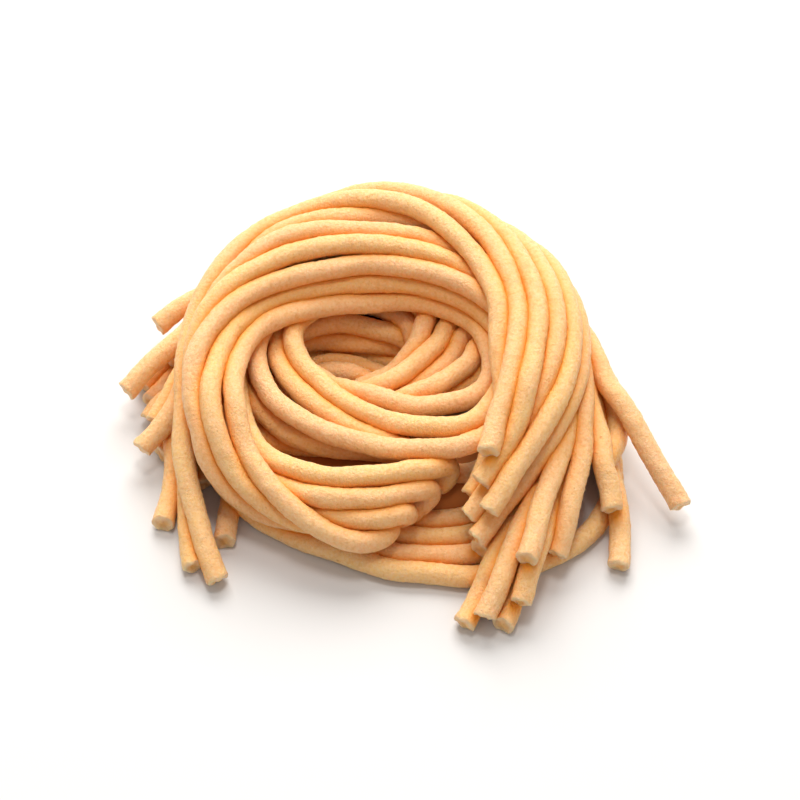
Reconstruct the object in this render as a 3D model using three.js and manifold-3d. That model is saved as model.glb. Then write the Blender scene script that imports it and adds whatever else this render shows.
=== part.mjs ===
// A nest of dry whole-grain spaghetti: a bundle of noodles wound about one and a half times round
// an open well, lying on its lowest turn, with the noodles' loose ends fanned out left and right.
// Millimetres, +Z up. X runs left to right and Y from front to back, seen from the front.
import * as THREE from 'three';
import { ParametricGeometry } from 'three/addons/geometries/ParametricGeometry.js';
import { mergeVertices } from 'three/addons/utils/BufferGeometryUtils.js';
import Module from 'manifold-3d';

// ---- Driving dimensions ----
const STRAND = 3.0; // diameter of one noodle
const NEST_AT = [-2, 4]; // the well's centre from the part's origin, X and Y

// The wound ring, each size given at the right, the back, the left and the front.
const RING_INNER = [14.5, 10.5, 13.0, 6.5]; // radius of the well's wall
const RING_OUTER = [31.5, 32.5, 32.0, 31.0]; // radius of the outer wall
const RING_FOOT = [2.0, 1.6, 1.6, 1.4]; // height of the underside
const RING_CROWN = [19.0, 21.4, 18.0, 12.8]; // height of the top
const RING_SLOPE = [0, -4, 6, 16]; // fall of the top towards the outside, degrees
const RING_RIDGES = 18; // noodles showing round the ring's section
const RING_TWIST = 2; // ridges by which the bundle turns over in one round
const RING_STEPS = 48;
const SQUARENESS = 2.4; // 2 is an ellipse, more is squarer

// The lowest turn, which lies flat and pushes out beyond the ring at the front right.
const COIL_OUTER = 29.0;
const COIL_BULGE = 10.4;
const COIL_BULGE_AT = 322; // bearing of the bulge, degrees
const COIL_BULGE_SPREAD = 40;
const COIL_STRANDS = 6;
const COIL_RISE = 13; // each noodle of the turn lies higher than the next one out, degrees

const RIDGE_DEPTH = 1.1; // depth of the groove between two noodles
const END_SIDES = 6; // sides of a loose noodle
const END_STEP = 6; // length of one straight piece of a loose noodle
const RIBBON_STEP = 6;
const SLIVER = 0.1; // edges shorter than this are closed up after the pieces are joined
const MERGE = 0.001; // corners closer than this are one corner

const rad = THREE.MathUtils.degToRad;
const TURN = 2 * Math.PI;

// ---- Helpers ----
const wasm = await Module();
wasm.setup();

// A closed three.js geometry as a solid: shared corners merged, collapsed triangles left out.
function solid(geometry) {
  const bare = new THREE.BufferGeometry();
  bare.setAttribute('position', geometry.getAttribute('position'));
  if (geometry.index) bare.setIndex(geometry.index);
  const merged = mergeVertices(bare, MERGE);
  const corners = merged.index.array;
  const kept = [];
  for (let i = 0; i < corners.length; i += 3) {
    const [a, b, c] = corners.slice(i, i + 3);
    if (a !== b && b !== c && c !== a) kept.push(a, b, c);
  }
  const mesh = new wasm.Mesh({
    numProp: 3,
    vertProperties: new Float32Array(merged.getAttribute('position').array),
    triVerts: new Uint32Array(kept),
  });
  return new wasm.Manifold(mesh);
}

// A solid as a three.js geometry.
function geometryOf(manifold) {
  const { vertProperties, triVerts } = manifold.getMesh();
  const geometry = new THREE.BufferGeometry();
  geometry.setAttribute('position', new THREE.BufferAttribute(vertProperties, 3));
  geometry.setIndex(new THREE.BufferAttribute(triVerts, 1));
  return geometry;
}

// The outer skin of a solid, so that small hollows sealed between the noodles are filled.
function skin(manifold) {
  const shells = solid(geometryOf(manifold)).decompose();
  return shells.reduce((most, shell) => (shell.volume() > most.volume() ? shell : most));
}

// A size that glides between its values at the right, the back, the left and the front.
function around(values, bearing) {
  const quarter = (((bearing % TURN) + TURN) % TURN) / (TURN / 4);
  const i = Math.floor(quarter) % 4;
  const blend = (1 - Math.cos(Math.PI * (quarter % 1))) / 2;
  return values[i] * (1 - blend) + values[(i + 1) % 4] * blend;
}

const route = (points) => new THREE.CatmullRomCurve3(points.map((p) => new THREE.Vector3(...p)));

// ---- The wound ring ----
function ring() {
  const points = 2 * RING_RIDGES;
  const onSurface = (u, v, target) => {
    const bearing = u * TURN;
    const inner = around(RING_INNER, bearing);
    const outer = around(RING_OUTER, bearing);
    const foot = around(RING_FOOT, bearing);
    const crown = around(RING_CROWN, bearing);
    const slope = -rad(around(RING_SLOPE, bearing));
    const step = Math.round(v * points) % points;
    const angle = (step / points + (u * RING_TWIST) / RING_RIDGES) * TURN;
    const groove = step % 2 ? RIDGE_DEPTH : 0;
    const [c, s] = [Math.cos(angle), Math.sin(angle)];
    const round = (Math.abs(c) ** SQUARENESS + Math.abs(s) ** SQUARENESS) ** (-1 / SQUARENESS);
    const across = ((outer - inner) / 2 - groove) * round * c;
    const up = ((crown - foot) / 2 - groove) * round * s;
    const radius = (inner + outer) / 2 + across * Math.cos(slope) - up * Math.sin(slope);
    const height = (foot + crown) / 2 + across * Math.sin(slope) + up * Math.cos(slope);
    target.set(radius * Math.cos(bearing), radius * Math.sin(bearing), height);
  };
  return solid(new ParametricGeometry(onSurface, RING_STEPS, points));
}

// ---- The lowest turn, flat on the ground ----
function coil() {
  const pitch = STRAND * Math.cos(rad(COIL_RISE));
  const rise = STRAND * Math.sin(rad(COIL_RISE));
  const outline = [[0.4, 0], [0, 0.3 * STRAND], [0.3, 0.8 * STRAND]];
  for (let k = 0; k < COIL_STRANDS; k += 1) {
    const groove = k * rise + STRAND - RIDGE_DEPTH;
    outline.push([(k + 0.5) * pitch, k * rise + STRAND], [(k + 1) * pitch, groove]);
  }
  outline.push([COIL_STRANDS * pitch, 0]);
  const onSurface = (u, v, target) => {
    const bearing = u * TURN;
    let away = THREE.MathUtils.euclideanModulo(bearing - rad(COIL_BULGE_AT) + Math.PI, TURN);
    away = (away - Math.PI) / rad(COIL_BULGE_SPREAD);
    const reach = COIL_OUTER + COIL_BULGE * Math.exp(-away * away);
    const [inward, height] = outline[Math.round(v * outline.length) % outline.length];
    const radius = reach - inward;
    target.set(radius * Math.cos(bearing), radius * Math.sin(bearing), height);
  };
  return solid(new ParametricGeometry(onSurface, RING_STEPS, outline.length));
}

// ---- Noodles side by side, as one grooved ribbon ----
// first and last are the routes of the outermost noodles on the two sides.
function ribbon(first, last, count) {
  const [a, b] = [route(first), route(last)];
  const steps = Math.round(Math.max(a.getLength(), b.getLength()) / RIBBON_STEP);
  const outline = [];
  for (let k = 0; k < count; k += 1) {
    outline.push([k - 0.5, STRAND / 2 - RIDGE_DEPTH], [k - 0.2, STRAND / 2], [k + 0.2, STRAND / 2]);
  }
  outline.push([count - 0.5, STRAND / 2 - RIDGE_DEPTH]);
  outline.push([count - 0.5, -STRAND / 2], [-0.5, -STRAND / 2]);
  outline.reverse();
  const rows = steps + 2; // the first and last rows close the ends
  const onSurface = (u, v, target) => {
    const row = Math.round(u * rows);
    const along = Math.min(Math.max(row - 1, 0), steps) / steps;
    const [p, q] = [a.getPointAt(along), b.getPointAt(along)];
    const ahead = a.getTangentAt(along).add(b.getTangentAt(along)).normalize();
    const across = q.clone().sub(p).divideScalar(count - 1);
    const up = across.clone().cross(ahead).normalize();
    const closing = row === 0 || row === rows;
    const at = outline[Math.round(v * outline.length) % outline.length];
    const [side, height] = closing ? [(count - 1) / 2, 0] : at;
    target.copy(p).addScaledVector(across, side).addScaledVector(up, height);
  };
  return solid(new ParametricGeometry(onSurface, rows, outline.length));
}

// ---- One loose noodle, cut square at its tip ----
function noodle(points) {
  const curve = route(points);
  const section = new THREE.Shape();
  for (let k = 0; k < END_SIDES; k += 1) {
    const angle = (k / END_SIDES) * TURN;
    const at = [(STRAND / 2) * Math.cos(angle), (STRAND / 2) * Math.sin(angle)];
    if (k) section.lineTo(...at);
    else section.moveTo(...at);
  }
  const steps = Math.max(2, Math.round(curve.getLength() / END_STEP));
  return solid(new THREE.ExtrudeGeometry(section, { steps, extrudePath: curve, curveSegments: 1 }));
}

// ---- Routes, from the well's centre ----
// Six noodles over everything at the right, from the back down towards the front.
const SWEEP_INNER = [[-6, 24, 18], [8, 20.5, 20], [15, 12, 21], [18.5, -3, 20], [18, -12, 17.5]];
const SWEEP_OUTER = [[-4, 29.5, 5.5], [13, 27, 8], [26, 15, 13.5], [29, 0, 15], [25.5, -12, 13]];
// Four noodles that turn over at the front left and cross the front.
const FOLD_INNER = [[-24, -10, 13], [-19, -15.5, 9.6], [-12, -19.8, 9.8], [-2, -21, 10.8], [8, -20, 10.6], [13, -16, 8]];
const FOLD_OUTER = [[-27.2, -12.4, 9.6], [-22.5, -20, 8], [-15, -26, 6.6], [-6, -29, 5.2], [3, -28.5, 4.6], [12, -22, 4.2]];
// Four noodles inside, which cross the front of the well.
const INSIDE_UPPER = [[-13.5, 3, 11.5], [-11.5, -2, 11], [-4, -5.6, 10.6], [5, -8, 10.8], [12, -7.4, 11.6], [16, -2, 13]];
const INSIDE_LOWER = [[-21, 1, 11], [-18.5, -6, 10.6], [-11.5, -13, 10.4], [-2, -16, 10], [7, -17, 10.6], [16, -15, 12]];
// Four noodles that drop from the back right into the well.
const DROP_LEFT = [[7, 11, 13], [5.4, 7.4, 10.4], [3, 3.8, 7.4], [-1.5, 0, 5.6], [-5, -4, 5]];
const DROP_RIGHT = [[15.5, 3.5, 14], [13.4, 0, 12], [10, -3, 10], [6, -5, 8.8], [1, -7.5, 8]];

// Four noodles that cross the bottom of the well.
const FLOOR_BACK = [[-17, 8, 3.2], [-8, 10.5, 2.8], [2, 11, 2.8], [12, 9, 2.8], [18, 4, 3.4]];
const FLOOR_FRONT = [[-17, -1, 3], [-8, 0.5, 2.4], [2, 1, 2.4], [11, -1, 2.6], [17, -6, 3]];

// The loose ends: each starts inside the bundle and ends at its tip.
const LOOSE_TOP = [
  [[17, -4.5, 17.5], [17, -11.5, 15], [12.5, -21.5, 8]],
  [[19.5, 0.5, 19.5], [18.5, -7, 19.5], [14.5, -18, 14]],
  [[21.5, -5, 19.5], [20, -12.5, 18.5], [14, -23, 13]],
  [[22.5, -9.5, 17.5], [19.5, -15.5, 14.5], [12.5, -25, 8]],
  [[25.5, -10, 17], [22, -16.5, 15.5], [15, -26.5, 11.5]],
  [[25, -13, 13.5], [21.5, -18.5, 11], [13, -28.5, 7]],
];
const LOOSE_RIGHT = [
  [[22, -10, 10], [17, -23, 5.5], [14, -28.5, 4]],
  [[26.5, -13, 12], [24, -20, 11], [20, -33, 8.5]],
  [[29, -10.5, 11.5], [28.5, -17.5, 9.5], [24.5, -29.5, 4.5]],
  [[20.5, -21, 5.5], [17, -28, 5.5], [14, -34, 2.5], [11.5, -39.5, 1.5]],
  [[22.5, -20.5, 8], [19.5, -27.5, 7.5], [14, -39.5, 3.5]],
  [[23.5, -20.5, 4], [21, -27.5, 4], [17, -39.5, 1.5]],
  [[26, -17.5, 7.5], [23.5, -24.5, 6.5], [19.5, -37.5, 4]],
  [[30, -4, 10], [31, -9.5, 10], [32, -17, 8.5], [33, -22, 5.5]],
  [[31, -6, 5.5], [34, -17, 4], [34, -29.5, 1.5]],
  [[28, 6, 12], [33.5, -4, 11], [37, -10, 9], [43.5, -20.5, 3.5]],
  [[29, 6, 7], [34.5, -2.5, 6.5], [32.5, -13, 4.5]],
];
const LOOSE_LEFT = [
  [[-25, 17.5, 8.5], [-30.5, 15, 8.5], [-35.5, 12, 6]],
  [[-27, 14, 3.5], [-34, 8, 3], [-37.5, 3.5, 1.5]],
  [[-28, 11, 7], [-31.5, 8, 8], [-36, 4, 7], [-39.5, 0, 5]],
  [[-28, 11, 1.5], [-33, 5.5, 1.5], [-36, 0.5, 1.5]],
  [[-28, 11, 5.5], [-32.5, 5, 6]],
  [[-28.5, 3, 6.5], [-32, -0.5, 6], [-34.5, -5.5, 4.5]],
  [[-28.5, 2, 8.5], [-31, -4.5, 8], [-33.5, -8, 6], [-36.5, -10.5, 4.5]],
  [[-27, 4, 2.5], [-32, 0.5, 3.5], [-36, -3, 2]],
  [[-27, 2, 1.5], [-34, -9.5, 1.5]],
  [[-29.5, -9, 4], [-31.5, -16, 2], [-32.5, -22, 1.5]],
  [[-28.5, -12, 4], [-29, -19.5, 3], [-27.5, -29.5, 1.5]],
  [[-28.5, -5, 11], [-29.5, -14.5, 8.5], [-27.5, -22.5, 5], [-24, -32, 1.5]],
  [[-23, -13, 1.5], [-23.5, -25, 1.5]],
];

// ---- The nest: everything joined into one body ----
function nest() {
  const parts = [
    ring(),
    coil(),
    ribbon(SWEEP_INNER, SWEEP_OUTER, 6),
    ribbon(FOLD_INNER, FOLD_OUTER, 4),
    ribbon(INSIDE_UPPER, INSIDE_LOWER, 4),
    ribbon(DROP_LEFT, DROP_RIGHT, 4),
    ribbon(FLOOR_BACK, FLOOR_FRONT, 4),
    ...[...LOOSE_TOP, ...LOOSE_RIGHT, ...LOOSE_LEFT].map(noodle),
  ];
  const joined = parts.reduce((whole, part) => whole.add(part));
  return geometryOf(skin(joined.simplify(SLIVER)));
}

const wheat = new THREE.MeshStandardMaterial({ color: 0xf2c284, roughness: 0.6, metalness: 0 });
const noodles = new THREE.Mesh(nest(), wheat);
noodles.geometry.computeVertexNormals();
noodles.name = 'noodle_nest';
noodles.position.set(...NEST_AT, 0);

const bundle = new THREE.Group();
bundle.add(noodles);

export default bundle;
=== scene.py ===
"""A nest of dry whole-grain spaghetti, laid out as a Blender add-on and run as a script.

Every noodle is a rod of dough that follows its own route. The routes are guides: before the noodles
are made, they are let settle, so that most neighbours lie against each other. A few still cross.
Lengths in this file are metres where Blender asks for them, and millimetres in routes.
"""

import math

import bmesh
import bpy
import numpy as np
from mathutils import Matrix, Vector, kdtree


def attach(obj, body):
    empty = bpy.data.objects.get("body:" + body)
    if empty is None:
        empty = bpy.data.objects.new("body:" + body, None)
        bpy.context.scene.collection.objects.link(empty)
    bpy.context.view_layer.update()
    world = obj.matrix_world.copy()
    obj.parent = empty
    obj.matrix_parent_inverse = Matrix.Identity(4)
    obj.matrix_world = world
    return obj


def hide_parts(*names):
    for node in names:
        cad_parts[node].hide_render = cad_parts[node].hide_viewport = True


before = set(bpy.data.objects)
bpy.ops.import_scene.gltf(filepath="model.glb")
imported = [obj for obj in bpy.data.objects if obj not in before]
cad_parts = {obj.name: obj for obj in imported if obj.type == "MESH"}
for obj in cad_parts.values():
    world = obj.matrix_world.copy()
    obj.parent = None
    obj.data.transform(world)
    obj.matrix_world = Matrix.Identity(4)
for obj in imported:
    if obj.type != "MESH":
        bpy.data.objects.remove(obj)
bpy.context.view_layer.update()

bl_info = {
    "name": "Dry spaghetti nest",
    "version": (1, 0, 0),
    "blender": (4, 5, 0),
    "location": "View3D > Sidebar > Noodles",
    "description": "Makes a nest of dry spaghetti, noodle by noodle, and a small studio for it",
    "category": "Add Mesh",
}

NODE = "noodle_nest"
MM = 0.001
WELL_AT = (-2.0, 4.0)  # the well's centre from the part's origin, the same in the solid model

# ---- Routes ----
# A wound noodle runs round the well: each point is a bearing in degrees, anticlockwise from the
# right, a distance from the well's centre and a height, both to the noodle's middle line.
# SWEEP and RIGHT start at a loose tip at the right, and LEFT at one at the left. TURN, FOLD and
# INSIDE start inside the nest, and all but the first turn end at a loose tip at the left.

SWEEP = {
    "a": [(-61, 26, 9.5), (-48, 23, 12), (-30, 20, 16), (-10, 17, 18.5), (17, 17.5, 20),
          (41, 19, 20), (60, 21, 20.5), (80, 24.5, 20), (100, 27, 19), (120, 28.5, 17.5),
          (145, 29.5, 16), (172, 29.5, 13.5), (193, 30.5, 11), (206, 33, 8.5), (219, 35.5, 5),
          (233, 40, 1.5)],
    "b": [(-52, 24, 15), (-41, 21.5, 17), (-30, 20.5, 18.5), (-13, 19.5, 20), (14, 20, 20.5),
          (31, 21, 21), (53, 24, 20.5), (73, 27, 19.5), (90, 29, 18.5), (111, 29.5, 16.5),
          (135, 30, 13.5), (160, 29.5, 10.5), (180, 30, 9), (188, 31.5, 8), (193, 34.5, 6),
          (196, 38, 4.5)],
    "c": [(-58, 26, 12), (-50, 25, 13.5), (-38, 24, 16), (-25, 22.5, 19), (-8, 22, 20),
          (12, 23, 20.5), (32, 24, 20.5), (53, 26.5, 19.5), (69, 28.5, 18), (84, 29.5, 15.5),
          (110, 30, 13), (140, 29.5, 10), (165, 29.5, 7), (181, 32, 6), (189, 35, 4.5)],
    "d": [(-64, 28, 8), (-52, 26, 11), (-34, 25, 16), (-22, 25, 18), (-7, 25, 19), (12, 25.5, 20),
          (28, 26.5, 19), (45, 28.5, 17), (62, 29.5, 14.5), (85, 30, 12), (112, 30, 9.5),
          (140, 30, 8), (156, 30.5, 8), (166, 32.5, 8), (174, 36, 7), (180, 39.5, 5)],
    "e": [(-61, 30.5, 11.5), (-49, 28, 13.5), (-36, 27, 15), (-20, 27, 16.5), (-2, 27.5, 17.5),
          (14, 28, 18), (30, 29, 17), (48, 30, 14), (65, 30, 11), (88, 30, 8.5), (112, 30, 7),
          (135, 30, 7.5), (146, 31.5, 8.5), (154, 34, 8.5), (161, 37.5, 6)],
    "f": [(-65, 31, 6.5), (-54, 29, 8.5), (-40, 28, 10.5), (-25, 28, 13), (-12, 28.5, 14.5),
          (0, 29, 15), (16, 29.5, 15), (30, 30, 13.5), (46, 30, 11), (64, 30, 8), (85, 30, 5.5),
          (110, 30, 4.5), (138, 30, 4.5), (158, 31, 5.5), (171, 33, 6)],
}

TURN = {
    "t1": [(-200, 12, 4.5), (-188, 9.5, 6), (-175, 8, 7), (-160, 6.5, 8.5), (-139, 5.5, 9.5),
           (-107, 5, 10), (-78, 6, 10), (-48, 9, 10), (-34, 11.5, 10.5), (-24, 14.5, 11.5),
           (-10, 16, 12.5), (11, 15.5, 13.5), (30, 15, 13), (50, 13.5, 12.5), (78, 12.5, 12),
           (101, 12, 12), (121, 13, 12.5), (140, 15.5, 12.5), (162, 19.5, 13.5), (180, 21.5, 15),
           (204, 24, 15.5), (220, 26, 12), (235, 27, 9.5), (251, 28, 7), (261, 28.5, 6),
           (268, 27, 5), (272, 24.5, 4.5), (268, 22, 4.5)],
    "t2": [(-320, 18, 8), (-270, 15, 9), (-222, 16, 11), (-205, 15.5, 11.5), (-186, 13, 11),
           (-168, 10.5, 11), (-145, 9.5, 11), (-114, 9, 11), (-85, 10.5, 11), (-63, 13, 11.5),
           (-44, 17, 12.5), (-30, 18, 13.5), (-12, 18.5, 15), (8, 17.5, 15.5), (28, 16, 15.5),
           (53, 14, 15.5), (79, 13.5, 15), (100, 13.5, 15), (118, 14.5, 15), (135, 16.5, 15),
           (152, 19.5, 15), (170, 22.5, 16), (188, 25, 16), (199, 27, 16), (212, 28.5, 13.5),
           (224, 29, 10), (237, 28, 7), (252, 26, 5.5), (260, 23.5, 3.5), (268, 23, 2),
           (275, 24, 1.5), (286, 25.5, 1.5), (297, 27, 1.5), (312, 28.5, 1.5), (328, 29, 1.5),
           (345, 28.5, 1.5), (370, 26.5, 2), (400, 26, 2), (450, 25.5, 2), (500, 26.5, 1.5),
           (530, 28, 1.5), (548, 31, 1.5), (554, 34, 1.5)],
    "t3": [(-290, 19, 9), (-250, 18.5, 9.5), (-220, 19.5, 10.5), (-195, 20, 11), (-178, 19, 11),
           (-159, 17.5, 11), (-143, 16, 11), (-127, 15, 11), (-109, 14.5, 11), (-91, 15, 11),
           (-74, 16.5, 11.5), (-60, 18.5, 12), (-48, 20.5, 13), (-36, 21.5, 13.5),
           (-12, 20.5, 15.5), (10, 19, 17), (33, 17, 17), (49, 15.5, 17.5), (74, 14.5, 17.5),
           (99, 15, 17.5), (120, 16, 17.5), (139, 19, 17), (155, 22.5, 17), (170, 25.5, 16.5),
           (185, 28, 16), (199, 29.5, 15), (207, 30, 14), (214, 31, 11.5), (225, 30, 7),
           (240, 27, 4.5), (250, 25.5, 3), (260, 25.5, 1.5), (271, 27, 1.5), (284, 28.5, 1.5),
           (294, 30, 1.5), (306, 31.5, 1.5), (318, 31.5, 1.5), (331, 31, 2), (345, 31, 3),
           (370, 30, 3.5), (400, 28.5, 3.5), (450, 28, 3), (500, 28.5, 2), (520, 30, 1.5),
           (532, 32.5, 1.5), (540, 35.5, 2)],
    "t4": [(-30, 24, 12.5), (-12, 23, 14.5), (8, 21.5, 16.5), (25, 19.5, 17.5), (43, 18, 18),
           (60, 17, 19), (82, 17, 19), (102, 17.5, 19.5), (124, 20, 19), (140, 22.5, 18.5),
           (155, 25, 18), (170, 27.5, 16.5), (183, 28.5, 14.5), (195, 29, 11.5), (205, 29, 7),
           (214, 28.5, 3), (222, 28, 1.5), (239, 27.5, 1.5), (255, 27.5, 1.5), (263, 28.5, 1.5),
           (272, 30, 1.5), (283, 31.5, 1.5), (291, 33.5, 1.5), (306, 36, 1.5), (320, 38, 1.5),
           (331, 38, 1.5), (341, 36, 1.5), (354, 33.5, 2), (370, 31.5, 2), (395, 30.5, 1.5),
           (450, 29.5, 1.5), (520, 30, 1.5), (550, 31, 2.5), (560, 32.5, 2.5), (567, 35, 2),
           (574, 39.5, 1.5)],
    "t5": [(-28, 27, 11), (-12, 26, 13), (8, 24, 15), (25, 22.5, 16.5), (42, 21, 17.5),
           (57, 20, 18), (73, 19.5, 19), (92, 20, 19), (105, 21, 19), (119, 23, 19),
           (131, 24.5, 19), (145, 26, 17.5), (160, 27.5, 15.5), (175, 27.5, 12.5), (190, 27, 9),
           (203, 26.5, 6), (216, 24.5, 3.5), (232, 22, 2), (250, 19.5, 1.5), (265, 19.5, 1.5),
           (280, 21.5, 1.5), (288, 22.5, 1.5), (301, 24, 1.5), (315, 25, 1.5), (330, 25.5, 2),
           (350, 24, 2.5), (370, 23.5, 3), (400, 23, 3), (450, 23, 2.5), (500, 24, 2),
           (530, 26.5, 2), (545, 29.5, 1.5), (556, 33, 1.5)],
    "t6": [(-24, 28.5, 8.5), (-8, 27.5, 11), (10, 26.5, 13.5), (26, 25.5, 15.5), (45, 24, 17),
           (63, 23, 17.5), (76, 23.5, 18), (97, 24.5, 18), (107, 25, 18), (120, 26, 18),
           (132, 27, 17), (146, 27, 15), (162, 26.5, 12), (178, 25.5, 9), (195, 24, 6.5),
           (210, 22, 5), (226, 19.5, 4), (245, 17, 3), (265, 16.5, 2.5), (286, 18.5, 2),
           (296, 19.5, 2), (312, 21, 2), (330, 20, 2.5), (355, 20.5, 3), (380, 20, 3.5),
           (430, 19.5, 3), (480, 20.5, 2.5), (520, 24, 2), (537, 29.5, 3), (545, 36, 2)],
}

FOLD = {
    "f1": [(158, 21, 11), (175, 22, 10), (195, 22.5, 9.5), (208, 23, 9.5), (222, 23.5, 10),
           (237, 22.5, 10.5), (248, 22, 11), (261, 20.5, 11), (271, 20, 11), (280, 19.5, 11),
           (288, 19.5, 10.5), (295, 19, 9.5), (300, 18.5, 8), (301, 18.5, 7), (299, 19, 6),
           (294, 19, 5)],
    "f2": [(150, 24, 10), (170, 25, 9), (190, 25.5, 8), (206, 25.5, 7.5), (220, 25.5, 7.5),
           (231, 25.5, 8.5), (242, 25, 9), (251, 24.5, 9.5), (261, 23.5, 9.5), (270, 23, 9.5),
           (278, 22, 9), (284, 21.5, 8.5), (288, 21, 7.5), (289, 21, 6.5), (287, 21, 5),
           (284, 21, 4), (280, 21.5, 3), (276, 21.5, 3)],
    "f3": [(148, 26.5, 7.5), (168, 27, 6), (190, 27, 5), (210, 26.5, 5), (226, 26.5, 5.5),
           (239, 26.5, 7), (252, 26, 7.5), (262, 25.5, 7.5), (272, 24.5, 7), (275, 24, 7),
           (278, 23.5, 6), (278, 23, 5), (276, 22.5, 4), (273, 22.5, 3.5), (270, 22, 3)],
}

INSIDE = {
    "u1": [(-75, 13, 7.5), (-95, 12, 9), (-115, 11.5, 9.5), (-137, 11.5, 10), (-156, 12.5, 10),
           (-174, 14.5, 10), (-190, 16.5, 10), (-215, 18, 10), (-235, 16.5, 9.5)],
    "u2": [(-60, 14, 6), (-85, 12, 5.5), (-104, 12.5, 6.5), (-119, 14, 7), (-130, 15.5, 7.5),
           (-139, 16.5, 7.5), (-147, 17.5, 7.5), (-155, 18.5, 8), (-165, 20, 8.5),
           (-176, 21, 8.5), (-190, 21, 8.5), (-210, 20, 8), (-235, 19, 8)],
    "u3": [(-120, 12, 3.5), (-134, 14, 4), (-142, 16, 4), (-150, 18.5, 4.5), (-157, 20, 4.5),
           (-165, 21, 4.5), (-190, 22, 5), (-220, 20.5, 5)],
    "u4": [(-30, 21, 6), (-48, 20.5, 5), (-63, 18, 4.5), (-85, 17, 3.5)],
}

RIGHT = {
    "r1": [(-64, 31.5, 4), (-53, 29, 6), (-36, 25.5, 9), (-15, 23.5, 10.5), (8, 23, 11.5),
           (30, 22, 12.5), (60, 20.5, 14), (90, 20.5, 14.5), (120, 22.5, 14.5), (150, 24, 13)],
    "r2": [(-58, 38, 7.5), (-47, 33, 9.5), (-35, 30.5, 11), (-24, 29, 12), (-12, 27.5, 12),
           (5, 25.5, 12), (28, 24.5, 12.5), (60, 24, 14), (90, 23.5, 14.5), (115, 24, 14)],
    "r3": [(-50, 38.5, 4.5), (-40, 35, 8), (-28, 32.5, 10), (-20, 30.5, 11.5), (-8, 29.5, 12),
           (8, 28.5, 12), (28, 27.5, 12), (55, 27, 13), (85, 26.5, 14), (110, 26.5, 14)],
    "r4": [(-74, 41, 1.5), (-68, 37, 2.5), (-64, 35, 4.5), (-57, 32, 5.5), (-45, 29.5, 6.5),
           (-32, 27.5, 7.5), (-12, 25.5, 8), (10, 25, 8.5), (35, 24.5, 9.5), (70, 24.5, 11),
           (105, 25, 11), (130, 25, 10)],
    "r5": [(-70, 41.5, 3), (-65, 38.5, 5), (-60, 35.5, 6), (-54, 33, 7), (-46, 31, 7.5),
           (-34, 29, 7), (-14, 27.5, 7), (8, 27, 7.5), (35, 27, 8.5), (68, 27, 10), (90, 27, 10)],
    "r6": [(-67, 43, 1.5), (-63, 40.5, 2.5), (-60, 39, 4), (-55, 36, 4.5), (-49, 33.5, 4.5),
           (-36, 30, 4), (-22, 27.5, 4), (0, 26, 5), (30, 26.5, 5.5), (65, 27, 6.5),
           (90, 27, 6.5)],
    "r7": [(-62, 41, 2.5), (-56, 37.5, 5), (-51, 35.5, 5.5), (-45, 33.5, 6), (-38, 31.5, 6.5),
           (-28, 30, 7.5), (-14, 29, 8.5), (8, 28, 9), (30, 28.5, 9.5)],
    "r8": [(-33, 39.5, 4.5), (-30, 38, 6), (-26, 35.5, 8), (-21, 34, 9), (-16, 32, 10),
           (-10, 30.5, 10), (-3, 30, 10), (10, 29.5, 9.5), (30, 30, 8), (60, 30, 5.5),
           (90, 30, 3)],
    "r9": [(-41, 45, 1.5), (-36, 42.5, 1.5), (-31, 40, 2), (-26, 37.5, 2.5), (-21, 35.5, 4),
           (-15, 33.5, 5.5), (-6, 32, 6), (5, 31, 5.5), (25, 30, 5), (60, 29.5, 3.5)],
    "r10": [(-25, 48, 3.5), (-20, 42.5, 6.5), (-15, 38.5, 9), (-10, 35.5, 10.5),
            (-5, 33, 11), (4, 31, 12), (16, 29.5, 12), (35, 29.5, 10.5), (60, 28.5, 9.5)],
    "r11": [(-22, 35, 4.5), (-14, 35.5, 5), (-4, 34.5, 6.5), (8, 32, 7), (25, 30, 7),
            (50, 28, 7)],
}

LEFT = {
    "l1": [(227, 40.5, 1.5), (220, 37.5, 2.5), (214, 35, 3), (205, 32.5, 4), (190, 30.5, 4.5),
           (170, 29.5, 4), (145, 28, 3.5), (115, 26, 3.5)],
    "l2": [(175, 37, 1.5), (168, 33, 2), (155, 30, 3), (130, 27.5, 5)],
    "l3": [(227, 34.5, 1.5), (217, 28.5, 1.5), (200, 25.5, 1.5), (180, 24, 2)],
    "l4": [(209, 31.5, 2), (199, 29.5, 3), (185, 28, 4), (165, 26, 5)],
}

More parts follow.
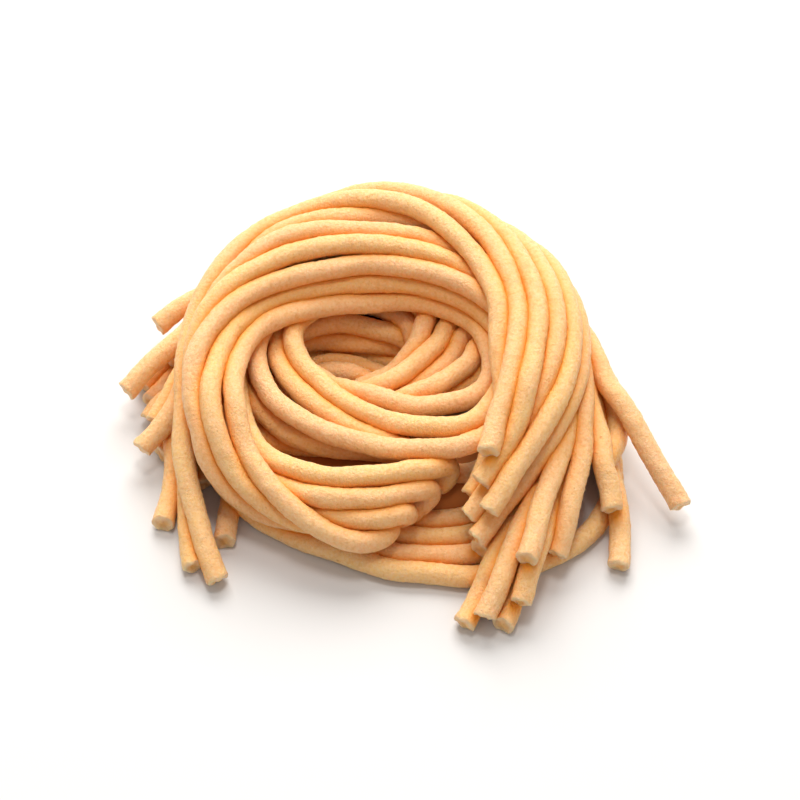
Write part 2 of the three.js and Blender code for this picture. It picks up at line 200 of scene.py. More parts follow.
# Noodles that cross the well: right, back and up from the well's centre on the ground.
WELL = {
    "v1": [(9, 16, 10), (7.5, 13.5, 10), (6.5, 11.5, 9.5), (5.5, 9, 9), (5, 7, 8), (3.5, 5, 7),
           (1, 3, 5.5), (-4, 1, 4.5)],
    "v2": [(14, 12.5, 10), (11.5, 11, 10), (9.5, 9, 10), (8.5, 6, 10), (6, 3.5, 9.5),
           (3.5, 1, 9), (1, -1, 9), (-1.5, -2, 8.5), (-6, -3.5, 7.5)],
    "v3": [(15.5, 9.5, 9.5), (13.5, 8, 10), (11.5, 6.5, 10), (10.5, 4.5, 9.5), (9, 2, 9),
           (6.5, 0, 8.5), (4, -1.5, 8), (0, -2.5, 7), (-4, -4.5, 6)],
    "v4": [(18, 7.5, 10), (16, 6, 10.5), (14, 4, 10.5), (13, 1.5, 10.5), (10.5, -0.5, 10),
           (7.5, -2.5, 9.5), (4.5, -3.5, 9), (0, -5.5, 8)],
    "v5": [(18, 4, 9.5), (16, 3, 10), (15, 2, 10), (14, -0.5, 9), (11.5, -2, 8.5), (8, -3.5, 8),
           (3, -6, 7)],
    "z1": [(-8, 17, 8.5), (-4, 15, 8.5), (-0.5, 14, 8.5), (2, 12.5, 8), (4, 10, 7.5),
           (5, 6.5, 6.5), (6, 2, 5)],
    "z2": [(-2, 18, 9), (2, 15.5, 9), (5, 13, 8.5), (7, 10, 7), (8, 6, 6)],
    "w1": [(-17, 8, 6), (-12.5, 11, 6.5), (-7, 12, 7), (-1.5, 11, 6.5), (2, 10, 6.5),
           (4, 8.5, 6), (7, 5, 6), (10, 0, 5.5)],
    "w2": [(-17, 7.5, 3.5), (-12.5, 10.5, 4), (-6.5, 10.5, 4), (-1, 10, 4), (2.5, 9, 4),
           (7, 6, 3.5), (12, 2, 3.5)],
    "w3": [(-17, 5.5, 1.5), (-12, 9.5, 2), (-6.5, 10, 2), (-1, 9, 2), (2, 8, 2), (6, 5.5, 1.5),
           (12, 0.5, 1.5)],
    "g2": [(-18, -0.5, 3), (-14, 2, 4), (-11, 3.5, 4.5), (-8, 4, 5), (-5, 3.5, 5), (-2, 2, 4.5),
           (2, -0.5, 3.5), (7, -5, 2)],
    "g3": [(-17, 3, 2), (-14, 5.5, 2.5), (-10, 7, 3), (-6, 7, 3), (-2, 5.5, 3), (2, 3.5, 2.5),
           (7, -1, 2)],
    "g4": [(-15, -5, 1.5), (-9, -1, 1.5), (-3, 0, 1.5), (2, -2.5, 1.5), (6, -8, 1.5)],
    "g5": [(-14, -9, 1.5), (-8, -5, 1.5), (-3, -4, 1.5), (1, -6, 1.5), (5, -12, 1.5)],
    "g6": [(-16, 12, 1.5), (-9, 13.5, 1.5), (0, 13, 1.5), (8, 10, 1.5), (15, 5, 1.5)],
}

# The core: bearing, nearest and farthest from the well's centre, and height of a heap that lies
# under the noodles and shows only at the bottom of the gaps between them, coloured dark as painted
# shade.
CORE = [(0, 18, 26, 7), (45, 16, 26, 11), (90, 15, 26, 13), (135, 17, 26, 12), (180, 20, 26, 6),
        (225, 9, 22, 4), (270, 5, 20, 5), (300, 6, 23, 5), (330, 9, 24, 6)]

GROUPS = {"sweep": SWEEP, "turns": TURN, "fold": FOLD, "inside": INSIDE, "right_ends": RIGHT,
          "left_ends": LEFT, "well": WELL}
BURIED_PAST = {"turns": 345, "right_ends": 20}  # degrees of bearing from which nothing shows
BURIED = {"l2", "l4", "u4", "z2", "g4", "g5", "g6"}
GLOSSY = {"g2", "g3"}

# ---- Sizes and colours a user would change ----

ELEVATION = math.radians(52)  # the camera's, from which the nest looks as it should


class NoodleSizes(bpy.types.PropertyGroup):
    thickness: bpy.props.FloatProperty(
        name="Thickness", description="Across one noodle", default=0.0032, min=0.001, max=0.006,
        unit="LENGTH", subtype="DISTANCE")
    unevenness: bpy.props.FloatProperty(
        name="Unevenness", description="How much the thickness wanders, as a share of it",
        default=0.035, min=0.0, max=0.2, subtype="FACTOR")
    rim: bpy.props.FloatProperty(
        name="Rim", description="How far the edge of a cut face is worn round", default=0.0003,
        min=0.0, max=0.001, unit="LENGTH", subtype="DISTANCE")
    sides: bpy.props.IntProperty(
        name="Sides", description="Faces round one noodle", default=22, min=8, max=32)
    step: bpy.props.FloatProperty(
        name="Step", description="Length of one face along a noodle", default=0.00048, min=0.0003,
        max=0.003, unit="LENGTH", subtype="DISTANCE")


class DoughColours(bpy.types.PropertyGroup):
    pale: bpy.props.FloatVectorProperty(
        name="Pale dough", description="The lighter, yellower noodles", size=3, subtype="COLOR",
        default=(0.98, 0.565, 0.19), min=0.0, max=1.0)
    warm: bpy.props.FloatVectorProperty(
        name="Warm dough", description="The pinker noodles", size=3, subtype="COLOR",
        default=(0.97, 0.505, 0.22), min=0.0, max=1.0)
    # Painted shade and painted light: darker, more saturated orange where noodles touch, for the
    # shade there and the light that shines through the dough.
    crease_shade: bpy.props.FloatVectorProperty(
        name="Crease", description="Where two noodles press together, and light shines through",
        size=3, subtype="COLOR", default=(0.99, 0.345, 0.02), min=0.0, max=1.0)
    bran: bpy.props.FloatVectorProperty(
        name="Bran", description="The specks of bran", size=3, subtype="COLOR",
        default=(0.55, 0.21, 0.05), min=0.0, max=1.0)
    cut: bpy.props.FloatVectorProperty(
        name="Cut face", description="The dry face where a noodle was cut", size=3,
        subtype="COLOR", default=(0.92, 0.66, 0.38), min=0.0, max=1.0)
    pith: bpy.props.FloatVectorProperty(
        name="Pith", description="The middle of a cut face", size=3, subtype="COLOR",
        default=(0.85, 0.46, 0.14), min=0.0, max=1.0)
    # Painted shade: the core's flat dark colour stands for the shade deep between the noodles.
    depth: bpy.props.FloatVectorProperty(
        name="Depth", description="The core, as it shows between the noodles", size=3,
        subtype="COLOR", default=(0.38, 0.11, 0.015), min=0.0, max=1.0)


class StudioSettings(bpy.types.PropertyGroup):
    elevation: bpy.props.FloatProperty(
        name="Camera elevation", description="How far above the floor the camera looks from",
        default=ELEVATION, min=0.0, max=math.radians(90), subtype="ANGLE")
    distance: bpy.props.FloatProperty(
        name="Camera distance", description="From the camera to the point it looks at",
        default=0.3333, min=0.1, max=2.0, unit="LENGTH", subtype="DISTANCE")
    lens: bpy.props.FloatProperty(
        name="Lens", description="Focal length", default=100.0, min=20.0, max=200.0,
        unit="CAMERA")
    key_power: bpy.props.FloatProperty(
        name="Key light", description="Power of the large light above and behind", default=7.7,
        min=0.0, max=50.0, unit="POWER")
    top_power: bpy.props.FloatProperty(
        name="Top light", description="Power of the small light overhead, for glints", default=1.0,
        min=0.0, max=50.0, unit="POWER")
    surround: bpy.props.FloatProperty(
        name="Surround", description="Strength of the white room", default=0.50, min=0.0, max=5.0)


# ---- Lines ----


def resampled(line, step):
    """The same line as points an even step apart, or a little less."""
    apart = np.linalg.norm(np.diff(line[:, :3], axis=0), axis=1)
    along = np.r_[0, np.cumsum(apart)]
    count = max(2, int(round(along[-1] / step)) + 1)
    at = np.linspace(0, along[-1], count)
    return np.stack([np.interp(at, along, column) for column in line.T], axis=1)


def curved(points, step):
    """A smooth line through the points, by centripetal Catmull-Rom spans."""
    p = np.asarray(points, float)
    p = np.vstack([2 * p[0] - p[1], p, 2 * p[-1] - p[-2]])
    spans = []
    for a, b, c, d in zip(p, p[1:], p[2:], p[3:]):
        knots = np.cumsum([0.0] + [max(np.linalg.norm(v - u), 1e-6) ** 0.5
                                   for u, v in ((a, b), (b, c), (c, d))])
        count = max(2, int(np.linalg.norm(c - b) / step))
        t = np.linspace(knots[1], knots[2], count, endpoint=False)[:, None]

        def between(u, v, i, j):
            span = knots[j] - knots[i]
            return (knots[j] - t) / span * u + (t - knots[i]) / span * v

        ab, bc, cd = between(a, b, 0, 1), between(b, c, 1, 2), between(c, d, 2, 3)
        spans.append(between(between(ab, bc, 0, 2), between(bc, cd, 1, 3), 1, 2))
    return np.vstack(spans + [p[-2:-1]])


BEARING_WEIGHT = 22.0  # mm for a radian, about the ring's middle radius
GUIDE_STEP = 0.4  # mm between the points of a smooth route
BEAD_STEP = 1.5  # mm between the beads that settle


def guide(group, name, points):
    """A noodle's beads from the well's centre, in millimetres, and whether each of them shows."""
    p = np.array(points, float)
    if group == "well":
        beads = resampled(curved(p, GUIDE_STEP), BEAD_STEP)
        return beads, np.full(len(beads), name not in BURIED)
    p[:, 0] = np.radians(p[:, 0]) * BEARING_WEIGHT
    p = curved(p, GUIDE_STEP)
    turn = p[:, 0] / BEARING_WEIGHT
    beads = resampled(np.stack([p[:, 1] * np.cos(turn), p[:, 1] * np.sin(turn), p[:, 2], turn],
                               axis=1), BEAD_STEP)
    shows = beads[:, 3] < math.radians(BURIED_PAST.get(group, 360))
    return beads[:, :3], shows & (name not in BURIED)


# ---- Settling ----

SQUEEZE = 0.94  # how near two noodles' middle lines may come, as a share of the thickness
SETTLE_ROUNDS = 150
NEIGHBOURS_EVERY = 10  # rounds between looking for neighbours again
REACH = 1.5  # mm further than touching that a neighbour is looked for
OWN_BEADS = 4  # beads of the same noodle that are too near to press on each other
PRESS = 0.5  # share of an overlap that is undone in one round
EASE = 0.5  # how strongly a bead follows its two neighbours' shift
# A noodle that shows keeps its place in the nest's look from the front and above, and settles
# mostly along that line; a buried one goes where there is room.
LOOK = np.array((0.0, math.cos(ELEVATION), -math.sin(ELEVATION)))
HOME_ALONG = {True: 0.015, False: 0.02}
HOME_ACROSS = {True: 0.25, False: 0.02}
YIELD = {True: 0.3, False: 1.0}
settled = {}


def neighbours(beads, noodle, place, reach):
    """Pairs of beads within reach that may press on each other."""
    tree = kdtree.KDTree(len(beads))
    for i, bead in enumerate(beads):
        tree.insert(bead, i)
    tree.balance()
    pairs = np.array([(i, j) for i, bead in enumerate(beads)
                      for _, j, _ in tree.find_range(bead, reach) if j > i])
    a, b = pairs.T
    free = (noodle[a] != noodle[b]) | (np.abs(place[a] - place[b]) > OWN_BEADS)
    return a[free], b[free]


def settle(thickness):
    """Lets all the noodles press each other apart, and keeps their lines in settled."""
    guides = {n: guide(g, n, p) for g, group in GROUPS.items() for n, p in group.items()}
    sizes = [len(line) for line, _ in guides.values()]
    seen = np.concatenate([shows for _, shows in guides.values()])
    noodle = np.repeat(np.arange(len(guides)), sizes)
    place = np.concatenate([np.arange(size) for size in sizes])
    home = np.vstack([line for line, _ in guides.values()])
    give = np.where(seen, YIELD[True], YIELD[False])
    along = 1 - np.where(seen, HOME_ALONG[True], HOME_ALONG[False])[:, None]
    across = 1 - np.where(seen, HOME_ACROSS[True], HOME_ACROSS[False])[:, None]
    middle = np.where((place > 0) & (place < np.repeat(sizes, sizes) - 1))[0]
    beads = home.copy()
    for step in range(SETTLE_ROUNDS):
        if step % NEIGHBOURS_EVERY == 0:
            a, b = neighbours(beads, noodle, place, thickness + REACH)
        apart = beads[b] - beads[a]
        gap = np.maximum(np.linalg.norm(apart, axis=1), 1e-6)
        near = gap < thickness
        i, j = a[near], b[near]
        push = apart[near] / gap[near, None] * ((thickness - gap[near]) * PRESS)[:, None]
        share = (give[i] / (give[i] + give[j]))[:, None]
        move, count = np.zeros_like(beads), np.zeros(len(beads))
        np.add.at(move, i, -push * share)
        np.add.at(move, j, push * (1 - share))
        np.add.at(count, i, 1)
        np.add.at(count, j, 1)
        beads = beads + move / np.sqrt(np.maximum(count, 1))[:, None]
        shift = beads - home
        eased = shift.copy()
        eased[middle] = (shift[middle - 1] + shift[middle + 1]) / 2
        shift = shift * (1 - EASE) + eased * EASE
        depth = (shift @ LOOK)[:, None] * LOOK
        beads = home + depth * along + (shift - depth) * across
        beads[:, 2] = np.maximum(beads[:, 2], thickness / 2)
    for name, part in zip(guides, np.split(beads, np.cumsum(sizes)[:-1])):
        settled[name] = part


# ---- Noodles ----

LINE_STEP = 0.3  # mm between the points of a noodle's middle line
EASING_PASSES = 3
WAVES = 9  # ripples of the surface that add up to its unevenness
LONGEST_WAVE = 14.0  # mm
NEXT_WAVE = 0.72  # each ripple's length as a share of the one before
NEXT_HEIGHT = 0.8  # and its height
MOST_LOBES = 3  # bulges round the noodle in one ripple
FLARE = 0.07  # how much wider a cut end is
FLARE_LENGTH = 1.2
RIM_REACH = 1.2  # how far the colour of a cut face goes, in rims
CUT_RINGS = (0.3, 0.3)  # shares of the radius between the rings of a cut face
CUT_DEPTH = 0.22  # mm of roughness of a cut face
CUT_LEAN = 0.16  # most that a cut face leans, as a slope
TONE_DRIFT = 0.12  # how much the tone changes along a noodle
TONE_LENGTH = 60  # mm from one pinker stretch to the next
CREASE_SHADE_WIDTH = 0.8  # mm over which the painted crease shade fades
CREASE_SHADE_STEP = 0.6
GRAIN = 0.03  # mm by which the surface is rough, from one face to the next


def upright_frames(line):
    """Tangents and two square directions that turn as little as they can along the line."""
    tangent = np.gradient(line, axis=0)
    tangent /= np.linalg.norm(tangent, axis=1)[:, None]
    side = np.cross(tangent[0], (0.0, 0.0, 1.0))
    if np.linalg.norm(side) < 1e-3:
        side = np.array((1.0, 0.0, 0.0))
    sides = np.empty_like(line)
    for i, t in enumerate(tangent):
        side = side - t * side.dot(t)
        side /= np.linalg.norm(side)
        sides[i] = side
    return tangent, sides, np.cross(tangent, sides)


def crease_shade_mask(points, noodle, sizes):
    """How near each point of a noodle's surface is to another noodle, 0 to 1 at touching: painted
    crease shade.
    """
    others = np.vstack([resampled(curved(line, LINE_STEP), CREASE_SHADE_STEP)
                        for name, line in settled.items() if name != noodle])
    tree = kdtree.KDTree(len(others))
    for i, point in enumerate(others):
        tree.insert(point, i)
    tree.balance()
    away = np.array([tree.find(point)[2] for point in points]) - sizes.thickness / MM / 2
    return np.exp(-np.clip(away, 0, None) / CREASE_SHADE_WIDTH)


def straight_rod(length, sizes):
    """A closed rod along Z, with worn rims, cut faces of rings, and short faces along it."""
    radius = sizes.thickness / MM / 2
    bm = bmesh.new()
    bmesh.ops.create_cone(bm, cap_ends=True, cap_tris=False, segments=sizes.sides,
                          radius1=radius, radius2=radius, depth=length)
    rims = [e for e in bm.edges if abs(e.verts[0].co.z - e.verts[1].co.z) < 1e-4]
    bmesh.ops.bevel(bm, geom=rims, offset=sizes.rim / MM, segments=2, profile=0.5,
                    affect="EDGES", material=-1)
    for sign in (-1, 1):
        cap = [f for f in bm.faces if f.normal.z * sign > 0.99]
        for share in CUT_RINGS:
            bmesh.ops.inset_region(bm, faces=cap, thickness=radius * share,
                                   use_even_offset=True)
        bmesh.ops.poke(bm, faces=cap)
    long = [e for e in bm.edges if abs(e.verts[0].co.z - e.verts[1].co.z) > length / 2]
    bmesh.ops.subdivide_edges(bm, edges=long, cuts=max(1, int(length * MM / sizes.step) - 1),
                              use_grid_fill=True)
    bmesh.ops.recalc_face_normals(bm, faces=bm.faces)
    mesh = bpy.data.meshes.new("rod")
    bm.to_mesh(mesh)
    bm.free()
    return mesh


def bent_rod(noodle, sizes, seed):
    """One noodle on its line: the rod's mesh, with what its colours need as attributes."""
    draw = np.random.RandomState(seed)
    line = curved(settled[noodle], LINE_STEP)
    for _ in range(EASING_PASSES):
        line[1:-1] = (line[:-2] + 2 * line[1:-1] + line[2:]) / 4
    line = resampled(line, LINE_STEP)
    along = np.r_[0, np.cumsum(np.linalg.norm(np.diff(line, axis=0), axis=1))]
    length = along[-1]
    mesh = straight_rod(length, sizes)
    radius = sizes.thickness / MM / 2
    co = np.empty(len(mesh.vertices) * 3)
    mesh.vertices.foreach_get("co", co)
    co = co.reshape(-1, 3)
    from_middle = np.hypot(co[:, 0], co[:, 1]) / radius
    at = co[:, 2] + length / 2
    angle = np.arctan2(co[:, 1], co[:, 0])
    ripple = np.zeros(len(co))
    for i in range(WAVES):
        span, lobes = LONGEST_WAVE * NEXT_WAVE ** i, draw.randint(0, MOST_LOBES + 1)
        wave = np.sin(2 * math.pi * (at / span + draw.rand()) + lobes * angle)
        ripple += NEXT_HEIGHT ** i * wave
    to_end = np.minimum(at, length - at)
    flare = FLARE * draw.uniform(0.3, 1.4) * np.exp(-to_end / FLARE_LENGTH)
    grain = GRAIN * draw.standard_normal(len(co)) / radius
    swell = 1 + sizes.unevenness * ripple / 2 + flare + grain
    cut = np.clip(1 - to_end / (RIM_REACH * sizes.rim / MM), 0, 1)
    ragged = np.sin(3.1 * co[:, 0] + 6 * draw.rand()) * np.sin(2.7 * co[:, 1] + 6 * draw.rand())
    lean = draw.uniform(-CUT_LEAN, CUT_LEAN, 2)
    at = at + cut * (CUT_DEPTH * ragged + co[:, 0] * lean[0] + co[:, 1] * lean[1])
    tangent, side, up = upright_frames(line)

    def on_line(values):
        return np.stack([np.interp(at, along, values[:, k]) for k in range(3)], axis=1)

    past = np.clip(at, None, 0) + np.clip(at - length, 0, None)
    placed = (on_line(line) + on_line(tangent) * past[:, None]
              + on_line(side) * (co[:, 0] * swell)[:, None]
              + on_line(up) * (co[:, 1] * swell)[:, None])
    placed[:, 2] = np.maximum(placed[:, 2], 0)
    # Mask of the painted crease shade, kept as an attribute.
    crease_shade = crease_shade_mask(placed, noodle, sizes)
    placed[:, :2] += WELL_AT
    mesh.vertices.foreach_set("co", (placed * MM).ravel())
    own_tone = draw.uniform(0, 1)
    along_tone = 2 * math.pi * (at / TONE_LENGTH + draw.rand())
    tone = own_tone + TONE_DRIFT * np.sin(along_tone)
    pith = cut * np.clip(1.6 - 2 * from_middle, 0, 1)
    gloss = np.full(len(co), noodle in GLOSSY)
    for name, values in (("tone", tone), ("cut_face", cut), ("pith", pith), ("gloss", gloss),
                         ("crease_shade", crease_shade)):
        mesh.attributes.new(name, "FLOAT", "POINT").data.foreach_set(
            "value", np.clip(values, 0, 1).astype(np.float32))
    return mesh


def piece(name, mesh, material):
    """A finished part of the nest, riding on the one body and standing for the CAD solid."""
    made = bpy.data.objects.new(name, mesh)
    bpy.context.scene.collection.objects.link(made)
    mesh.materials.clear()
    mesh.materials.append(material)
    mesh.polygons.foreach_set("use_smooth", [True] * len(mesh.polygons))
    mesh.update()
    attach(made, "root")
    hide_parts(NODE)
    return made


def make_group(context, name):
    """All the noodles of one group as one piece."""
    sizes = context.scene.noodle_sizes
    if not settled:
        settle(sizes.thickness / MM * SQUEEZE)
    order = [n for group in GROUPS.values() for n in group]
    joined = bmesh.new()
    for noodle in GROUPS[name]:
        mesh = bent_rod(noodle, sizes, order.index(noodle))
        joined.from_mesh(mesh)
        bpy.data.meshes.remove(mesh)
    mesh = bpy.data.meshes.new(name)
    joined.to_mesh(mesh)
    joined.free()
    return piece(name, mesh, dough(context))


# ---- Core ----

CORE_FOOT = 0.4  # mm above the floor
CORE_STEPS = 90
CORE_HUB = 2.0  # a section's middle from the axis that it is spun round
CORE_ARCH = 13  # points of a section
CORE_FULLNESS = 0.6  # 1 is a half circle, less is squarer


def make_core(context):
    """The heap under the noodles, dark as painted shade, spun as a plain ring and then drawn out to
    its sizes.
    """
    bm = bmesh.new()
    arch = [bm.verts.new((CORE_HUB - math.cos(t), 0, math.sin(t) ** CORE_FULLNESS))
            for t in np.linspace(0, math.pi, CORE_ARCH)]
    section = [bm.edges.new(pair) for pair in zip(arch, arch[1:] + arch[:1])]
    bmesh.ops.spin(bm, geom=arch + section, cent=(0, 0, 0), axis=(0, 0, 1),
                   angle=2 * math.pi, steps=CORE_STEPS, use_merge=True)
    bearings, nearest, farthest, heights = np.array(CORE, float).T
    for vert in bm.verts:
        x, y, share = vert.co
        bearing = math.degrees(math.atan2(y, x)) % 360
        near, far, top = (np.interp(bearing, bearings, values, period=360)
                          for values in (nearest, farthest, heights))
        out = near + (far - near) * (math.hypot(x, y) - CORE_HUB + 1) / 2
        turn = math.radians(bearing)
        vert.co = Vector((WELL_AT[0] + out * math.cos(turn), WELL_AT[1] + out * math.sin(turn),
                          CORE_FOOT + (top - CORE_FOOT) * share)) * MM
    bmesh.ops.recalc_face_normals(bm, faces=bm.faces)
    mesh = bpy.data.meshes.new("core")
    bm.to_mesh(mesh)
    bm.free()
    # A flat dark colour that paints the shade deep between the noodles.
    material = bpy.data.materials.new("painted_shade_core")
    material.use_nodes = True
    shader = material.node_tree.nodes["Principled BSDF"]
    shader.inputs["Base Color"].default_value = (*context.scene.dough_colours.depth, 1.0)
    shader.inputs["Roughness"].default_value = 0.9
    return piece("core", mesh, material)


# ---- Dough ----

# Scales are repeats a metre.
PATCH_SCALE = 170.0
MEAL_SCALE = 2400.0
MEAL_COLOUR = (0.99, 0.66, 0.35)
HUSK_SCALE = 1500.0
HUSK_COLOUR = (0.76, 0.36, 0.10)
# Bran flecks: cells a metre, share of the cells, smallest and largest size in cells, strength.
FLECKS = [(700.0, 0.13, 0.06, 0.18, 0.85), (1600.0, 0.16, 0.08, 0.22, 0.55)]
FLECK_BREAKUP = 0.0005  # how far a fleck's outline is broken up
FLECK_EDGE = 0.04  # how soft the outline is, in cells
FAINTEST = 0.3  # the palest fleck, as a share of the strongest
ROUGH_SCALE = 2800.0
WAVY_SCALE = 900.0
RELIEF = 0.0003
DULLNESS_SCALE = 1500.0
DULLNESS = (0.32, 0.55)  # roughness between its smoothest and roughest spots
GLOSS = 0.28  # how much smoother a glossy noodle is
FLESH_SHARE = 0.35  # of the light that goes into the dough and comes out again
FLESH_REACH = (1.0, 0.5, 0.2)  # red goes farthest
FLESH_DEPTH = 0.001


def dough(context):
    """The noodles' material: pale wheat dough with bran specks and dry cut faces."""
    if "wheat_dough" in bpy.data.materials:
        return bpy.data.materials["wheat_dough"]
    colours = context.scene.dough_colours
    material = bpy.data.materials.new("wheat_dough")
    material.use_nodes = True
    tree = material.node_tree
    tree.nodes.clear()

    def node(kind, **values):
        made = tree.nodes.new(kind)
        for key, value in values.items():
            if hasattr(made, key):
                setattr(made, key, value)
            else:
                made.inputs[key.replace("_", " ")].default_value = value
        return made

    def link(source, target):
        tree.links.new(source, target)

    def mixed(factor, a, b):
        made = node("ShaderNodeMix", data_type="RGBA", blend_type="MIX")
        for socket, value in ((made.inputs[0], factor), (made.inputs[6], a), (made.inputs[7], b)):
            if isinstance(value, bpy.types.NodeSocket):
                link(value, socket)
            elif isinstance(value, (int, float)):
                socket.default_value = value
            else:
                socket.default_value = (*value, 1.0)
        return made.outputs[2]

    def ranged(source, low, high, to_low=0.0, to_high=1.0):
        made = node("ShaderNodeMapRange")
        link(source, made.inputs[0])
        for i, value in enumerate((low, high, to_low, to_high)):
            made.inputs[i + 1].default_value = value
        return made.outputs[0]

    def maths(operation, a, b):
        made = node("ShaderNodeMath", operation=operation)
        for socket, value in zip(made.inputs, (a, b)):
            if isinstance(value, bpy.types.NodeSocket):
                link(value, socket)
            else:
                socket.default_value = value
        return made.outputs[0]

    def noise(scale, detail=2.0, roughness=0.5):
        made = node("ShaderNodeTexNoise", Scale=scale, Detail=detail, Roughness=roughness)
        link(place, made.inputs["Vector"])
        return made.outputs["Fac"]

    place = node("ShaderNodeTexCoord").outputs["Object"]
    tone, cut, pith, gloss, crease_shade = (
        node("ShaderNodeAttribute", attribute_name=name).outputs["Fac"]
        for name in ("tone", "cut_face", "pith", "gloss", "crease_shade"))

    # Broad colour: some noodles pinker, and each a little patchy along its length.
    patch = ranged(noise(PATCH_SCALE, 3.0), 0.3, 0.7, -0.3, 0.3)
    body = mixed(maths("ADD", tone, patch), colours.pale, colours.warm)
    # Meal: a fine mottle of starch, lighter and darker.
    meal = ranged(noise(MEAL_SCALE, 4.0, 0.7), 0.38, 0.62, 0.0, 0.7)
    body = mixed(meal, body, MEAL_COLOUR)
    husk = ranged(noise(HUSK_SCALE, 3.0, 0.6), 0.5, 0.68, 0.0, 0.45)
    body = mixed(husk, body, HUSK_COLOUR)
    # Bran: brown flecks in a few of the cells of a fine division, their outlines broken up.
    broken = node("ShaderNodeTexNoise", Scale=MEAL_SCALE, Detail=2.0)
    link(place, broken.inputs["Vector"])
    shift = node("ShaderNodeVectorMath", operation="MULTIPLY_ADD")
    link(broken.outputs["Color"], shift.inputs[0])
    shift.inputs[1].default_value = (FLECK_BREAKUP,) * 3
    link(place, shift.inputs[2])
    for scale, share, smallest, largest, strength in FLECKS:
        cells = node("ShaderNodeTexVoronoi", Scale=scale, Randomness=1.0)
        link(shift.outputs[0], cells.inputs["Vector"])
        pick = node("ShaderNodeSeparateColor")
        link(cells.outputs["Color"], pick.inputs[0])
        chosen = ranged(pick.outputs[0], 1 - share, 1.001 - share)
        size = ranged(pick.outputs[1], 0.0, 1.0, smallest, largest)
        near = ranged(maths("SUBTRACT", size, cells.outputs["Distance"]), 0.0, FLECK_EDGE)
        faint = ranged(pick.outputs[2], 0.0, 1.0, FAINTEST * strength, strength)
        body = mixed(maths("MULTIPLY", maths("MULTIPLY", chosen, near), faint), body,
                     colours.bran)
    # Painted shade and painted through-light: darker, more saturated orange where noodles touch.
    body = mixed(crease_shade, body, colours.crease_shade)
    body = mixed(cut, body, colours.cut)
    body = mixed(pith, body, colours.pith)

    # Surface: extruded through bronze, so it is finely rough, with scattered glints.
    rough = node("ShaderNodeBump", Strength=1.0, Distance=RELIEF)
    link(noise(ROUGH_SCALE, 4.0, 0.7), rough.inputs["Height"])
    wavy = node("ShaderNodeBump", Strength=0.45, Distance=RELIEF)
    link(noise(WAVY_SCALE, 3.0, 0.6), wavy.inputs["Height"])
    link(rough.outputs[0], wavy.inputs["Normal"])
    shader = node("ShaderNodeBsdfPrincipled")
    shader.inputs["Subsurface Weight"].default_value = FLESH_SHARE
    shader.inputs["Subsurface Radius"].default_value = FLESH_REACH
    shader.inputs["Subsurface Scale"].default_value = FLESH_DEPTH
    shader.inputs["Specular IOR Level"].default_value = 0.5
    link(body, shader.inputs["Base Color"])
    dull = ranged(noise(DULLNESS_SCALE, 3.0), 0.35, 0.65, *DULLNESS)
    link(maths("SUBTRACT", dull, maths("MULTIPLY", gloss, GLOSS)), shader.inputs["Roughness"])
    link(wavy.outputs[0], shader.inputs["Normal"])
    out = node("ShaderNodeOutputMaterial")
    link(shader.outputs[0], out.inputs["Surface"])
    return material


# ---- Operators ----


class NoodleOperator:
    bl_options = {"REGISTER", "UNDO"}
    group = ""

    def execute(self, context):
        make_group(context, self.group)
        return {"FINISHED"}


class NOODLES_OT_sweep(NoodleOperator, bpy.types.Operator):
    """Make the noodles that sweep over the top and down the right-hand side"""
    bl_idname = "noodles.sweep"
    bl_label = "Sweep"
    group = "sweep"


class NOODLES_OT_turns(NoodleOperator, bpy.types.Operator):
    """Make the long noodles that wind round the well more than once"""
    bl_idname = "noodles.turns"
    bl_label = "Turns"
    group = "turns"


class NOODLES_OT_fold(NoodleOperator, bpy.types.Operator):
    """Make the noodles that fold over the front of the ring"""
    bl_idname = "noodles.fold"
    bl_label = "Fold"
    group = "fold"


class NOODLES_OT_inside(NoodleOperator, bpy.types.Operator):
    """Make the noodles that line the well"""
    bl_idname = "noodles.inside"
    bl_label = "Inside"
    group = "inside"


class NOODLES_OT_right_ends(NoodleOperator, bpy.types.Operator):
    """Make the noodles whose loose ends hang out at the front right"""
    bl_idname = "noodles.right_ends"
    bl_label = "Right-hand ends"
    group = "right_ends"


class NOODLES_OT_left_ends(NoodleOperator, bpy.types.Operator):
    """Make the short noodles whose ends stick out at the left"""
    bl_idname = "noodles.left_ends"
    bl_label = "Left-hand ends"
    group = "left_ends"


class NOODLES_OT_well(NoodleOperator, bpy.types.Operator):
    """Make the noodles that cross the well and its floor"""
    bl_idname = "noodles.well"
    bl_label = "Well"
    group = "well"


class NOODLES_OT_core(bpy.types.Operator):
    """Make the heap that lies under the noodles, dark as painted shade"""
    bl_idname = "noodles.core"
    bl_label = "Core"
    bl_options = {"REGISTER", "UNDO"}

    def execute(self, context):
        make_core(context)
        return {"FINISHED"}


class NOODLES_OT_studio(bpy.types.Operator):
    """Make the floor, the lights and the camera"""
    bl_idname = "noodles.studio"
    bl_label = "Studio"
    bl_options = {"REGISTER", "UNDO"}

    def execute(self, context):
        make_studio(context)
        return {"FINISHED"}


# ---- Studio ----

AIM = ((WELL_AT[0] + 2.2) * MM, (WELL_AT[1] - 3.9) * MM, 8.0 * MM)  # what the camera looks at
LIT = Vector((0, 0, 0.01))  # what the lights point at
KEY_AT = (0.0, 0.50, 0.52)
KEY_SIZE = 0.55
TOP_AT = (0.0, 0.04, 0.62)
TOP_SIZE = 0.12
FLOOR_SIZE = 3.0
FLOOR_COLOUR = (0.70, 0.675, 0.65, 1.0)
WHITE = (1.0, 1.0, 1.0, 1.0)
SENSOR = 36.0
NEAREST_SEEN = 0.01


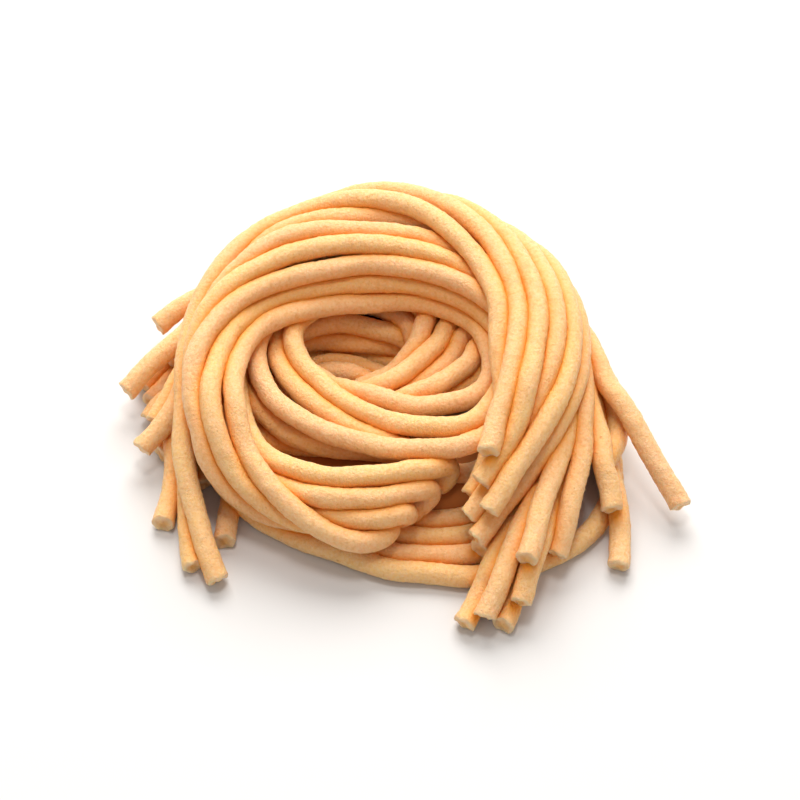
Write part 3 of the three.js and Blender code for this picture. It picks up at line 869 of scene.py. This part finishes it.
def make_studio(context):
    """The floor, a white room, a large and a small light, and the camera."""
    scene, settings = context.scene, context.scene.studio_settings
    bm = bmesh.new()
    bmesh.ops.create_grid(bm, x_segments=1, y_segments=1, size=FLOOR_SIZE)
    mesh = bpy.data.meshes.new("floor")
    bm.to_mesh(mesh)
    bm.free()
    floor = bpy.data.objects.new("floor", mesh)
    scene.collection.objects.link(floor)
    paper = bpy.data.materials.new("white_paper")
    paper.use_nodes = True
    shader = paper.node_tree.nodes["Principled BSDF"]
    shader.inputs["Base Color"].default_value = FLOOR_COLOUR
    shader.inputs["Roughness"].default_value = 0.8
    shader.inputs["Specular IOR Level"].default_value = 0.1
    mesh.materials.append(paper)

    world = bpy.data.worlds.new("room")
    world.use_nodes = True
    background = world.node_tree.nodes["Background"]
    background.inputs[0].default_value = WHITE
    background.inputs[1].default_value = settings.surround
    scene.world = world

    def lamp(name, place, size, power):
        data = bpy.data.lights.new(name, "AREA")
        data.shape = "SQUARE"
        data.size = size
        data.energy = power
        made = bpy.data.objects.new(name, data)
        made.location = place
        made.rotation_euler = (LIT - Vector(place)).to_track_quat("-Z", "Y").to_euler()
        scene.collection.objects.link(made)

    lamp("key_light", KEY_AT, KEY_SIZE, settings.key_power)
    lamp("top_light", TOP_AT, TOP_SIZE, settings.top_power)

    data = bpy.data.cameras.new("camera")
    data.lens = settings.lens
    data.sensor_width = SENSOR
    camera = bpy.data.objects.new("camera", data)
    tilt = settings.elevation
    camera.location = (AIM[0], AIM[1] - settings.distance * math.cos(tilt),
                       AIM[2] + settings.distance * math.sin(tilt))
    camera.rotation_euler = (math.pi / 2 - tilt, 0.0, 0.0)
    data.clip_start = NEAREST_SEEN
    scene.collection.objects.link(camera)
    scene.camera = camera
    scene.view_settings.view_transform = "Standard"
    scene.view_settings.look = "None"


OPERATORS = (NOODLES_OT_sweep, NOODLES_OT_turns, NOODLES_OT_fold, NOODLES_OT_inside,
             NOODLES_OT_right_ends, NOODLES_OT_left_ends, NOODLES_OT_well, NOODLES_OT_core,
             NOODLES_OT_studio)


class NOODLES_PT_panel(bpy.types.Panel):
    """Lists the steps that make the nest, with their sizes and colours"""
    bl_idname = "NOODLES_PT_panel"
    bl_label = "Spaghetti nest"
    bl_space_type = "VIEW_3D"
    bl_region_type = "UI"
    bl_category = "Noodles"

    def draw(self, context):
        for group in (context.scene.noodle_sizes, context.scene.dough_colours,
                      context.scene.studio_settings):
            box = self.layout.box()
            for name in group.bl_rna.properties.keys():
                if name not in ("rna_type", "name"):
                    box.prop(group, name)
        for operator in OPERATORS:
            self.layout.operator(operator.bl_idname)


CLASSES = (NoodleSizes, DoughColours, StudioSettings, *OPERATORS, NOODLES_PT_panel)


def register():
    for cls in CLASSES:
        bpy.utils.register_class(cls)
    bpy.types.Scene.noodle_sizes = bpy.props.PointerProperty(type=NoodleSizes)
    bpy.types.Scene.dough_colours = bpy.props.PointerProperty(type=DoughColours)
    bpy.types.Scene.studio_settings = bpy.props.PointerProperty(type=StudioSettings)


def unregister():
    del bpy.types.Scene.noodle_sizes
    del bpy.types.Scene.dough_colours
    del bpy.types.Scene.studio_settings
    for cls in reversed(CLASSES):
        bpy.utils.unregister_class(cls)


def main():
    register()
    for make in (bpy.ops.noodles.sweep, bpy.ops.noodles.turns, bpy.ops.noodles.fold,
                 bpy.ops.noodles.inside, bpy.ops.noodles.right_ends,
                 bpy.ops.noodles.left_ends, bpy.ops.noodles.well, bpy.ops.noodles.core,
                 bpy.ops.noodles.studio):
        make()


if __name__ == "__main__":
    main()
